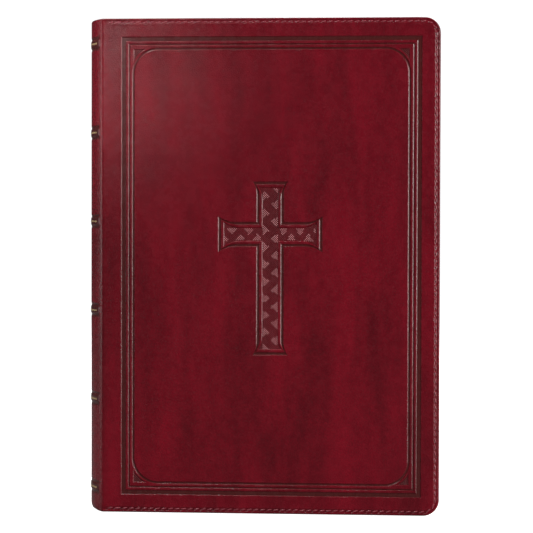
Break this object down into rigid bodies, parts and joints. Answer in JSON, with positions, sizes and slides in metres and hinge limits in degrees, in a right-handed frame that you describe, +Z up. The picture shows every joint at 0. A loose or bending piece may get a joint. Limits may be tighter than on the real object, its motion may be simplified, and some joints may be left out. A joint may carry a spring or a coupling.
{
  "type": "prayer book",
  "caption": "Large upright prayer book in a flexible stitched leather-look cover with a pressed cross and frame, rounded banded spine and opening leaves.",
  "frame": {"origin": "centre of the closed book's footprint, on the surface it stands on", "axes": "+Z up from the tail to the head of the book, +X from the spine to the fore-edge, -Y out of the front cover"},
  "size_m": [0.1782, 0.0408, 0.248],
  "materials": {
    "cover_leather": "semi-gloss burgundy faux leather, fine wrinkled grain, dark antique clouding",
    "card": "matt grey-brown book card",
    "gilding": "satin gold foil",
    "paper": "matt cream book paper",
    "endpaper": "matt ivory endpaper",
    "cloth": "open-weave cotton mull",
    "headband": "twisted silk over a cord",
    "thread": "waxed burgundy sewing thread"
  },
  "bodies": {
    "spine": {"spine_leather": "cover_leather", "spine_stiffener": "card", "spine_bands": "card", "spine_gilding": "gilding", "spine_lining": "paper", "spine_mull": "cloth", "head_band": "headband", "tail_band": "headband", "section_folds": "paper"},
    "front_leaves_1": {"section_01": "paper", "section_02": "paper", "section_03": "paper", "front_hinge_leather": "cover_leather"},
    "front_leaves_2": {"section_04": "paper", "section_05": "paper", "section_06": "paper"},
    "front_leaves_3": {"section_07": "paper", "section_08": "paper", "section_09": "paper"},
    "front_leaves_4": {"section_10": "paper", "section_11": "paper", "section_12": "paper"},
    "back_leaves_1": {"section_22": "paper", "section_23": "paper", "section_24": "paper", "back_hinge_leather": "cover_leather"},
    "back_leaves_2": {"section_19": "paper", "section_20": "paper", "section_21": "paper"},
    "back_leaves_3": {"section_16": "paper", "section_17": "paper", "section_18": "paper"},
    "back_leaves_4": {"section_13": "paper", "section_14": "paper", "section_15": "paper"},
    "front_flyleaf": {"front_flyleaf": "endpaper"},
    "front_cover": {"front_cover_leather": "cover_leather", "front_cover_board": "card", "front_pastedown": "endpaper", "front_cover_stitching": "thread"},
    "back_flyleaf": {"back_flyleaf": "endpaper"},
    "back_cover": {"back_cover_leather": "cover_leather", "back_cover_board": "card", "back_pastedown": "endpaper", "back_cover_stitching": "thread"}
  },
  "joints": [
    {"name": "book_opening", "type": "hinge", "parent": "spine", "child": "front_leaves_1", "pos_m": [-0.07995, -0.0204, 0.124], "axis": [0, 0, -1], "range_deg": [0, 80]},
    {"name": "front_leaves_2_turn", "type": "hinge", "parent": "spine", "child": "front_leaves_2", "pos_m": [-0.07995, -0.0204, 0.124], "axis": [0, 0, -1], "range_deg": [0, 80]},
    {"name": "front_leaves_3_turn", "type": "hinge", "parent": "spine", "child": "front_leaves_3", "pos_m": [-0.07995, -0.0204, 0.124], "axis": [0, 0, -1], "range_deg": [0, 80]},
    {"name": "front_leaves_4_turn", "type": "hinge", "parent": "spine", "child": "front_leaves_4", "pos_m": [-0.07995, -0.0204, 0.124], "axis": [0, 0, -1], "range_deg": [0, 80]},
    {"name": "front_cover_hinge", "type": "hinge", "parent": "front_leaves_1", "child": "front_cover", "pos_m": [-0.07995, -0.0204, 0.124], "axis": [0, 0, -1], "range_deg": [0, 130]},
    {"name": "front_flyleaf_turn", "type": "hinge", "parent": "front_leaves_1", "child": "front_flyleaf", "pos_m": [-0.07995, -0.0204, 0.124], "axis": [0, 0, -1], "range_deg": [0, 60]},
    {"name": "back_leaves_1_turn", "type": "hinge", "parent": "spine", "child": "back_leaves_1", "pos_m": [-0.07995, 0.0204, 0.124], "axis": [0, 0, 1], "range_deg": [0, 80]},
    {"name": "back_leaves_2_turn", "type": "hinge", "parent": "spine", "child": "back_leaves_2", "pos_m": [-0.07995, 0.0204, 0.124], "axis": [0, 0, 1], "range_deg": [0, 80]},
    {"name": "back_leaves_3_turn", "type": "hinge", "parent": "spine", "child": "back_leaves_3", "pos_m": [-0.07995, 0.0204, 0.124], "axis": [0, 0, 1], "range_deg": [0, 80]},
    {"name": "back_leaves_4_turn", "type": "hinge", "parent": "spine", "child": "back_leaves_4", "pos_m": [-0.07995, 0.0204, 0.124], "axis": [0, 0, 1], "range_deg": [0, 80]},
    {"name": "back_cover_hinge", "type": "hinge", "parent": "back_leaves_1", "child": "back_cover", "pos_m": [-0.07995, 0.0204, 0.124], "axis": [0, 0, 1], "range_deg": [0, 75]},
    {"name": "back_flyleaf_turn", "type": "hinge", "parent": "back_leaves_1", "child": "back_flyleaf", "pos_m": [-0.07995, 0.0204, 0.124], "axis": [0, 0, 1], "range_deg": [0, 35]}
  ],
  "couplings": [
    {"joint": "front_leaves_2_turn", "follows": "book_opening", "ratio": 0.98},
    {"joint": "front_leaves_3_turn", "follows": "book_opening", "ratio": 0.96},
    {"joint": "front_leaves_4_turn", "follows": "book_opening", "ratio": 0.94},
    {"joint": "front_flyleaf_turn", "follows": "front_cover_hinge", "ratio": 0.45},
    {"joint": "back_leaves_1_turn", "follows": "book_opening", "ratio": 1},
    {"joint": "back_leaves_2_turn", "follows": "book_opening", "ratio": 0.98},
    {"joint": "back_leaves_3_turn", "follows": "book_opening", "ratio": 0.96},
    {"joint": "back_leaves_4_turn", "follows": "book_opening", "ratio": 0.94},
    {"joint": "back_flyleaf_turn", "follows": "back_cover_hinge", "ratio": 0.45}
  ]
}
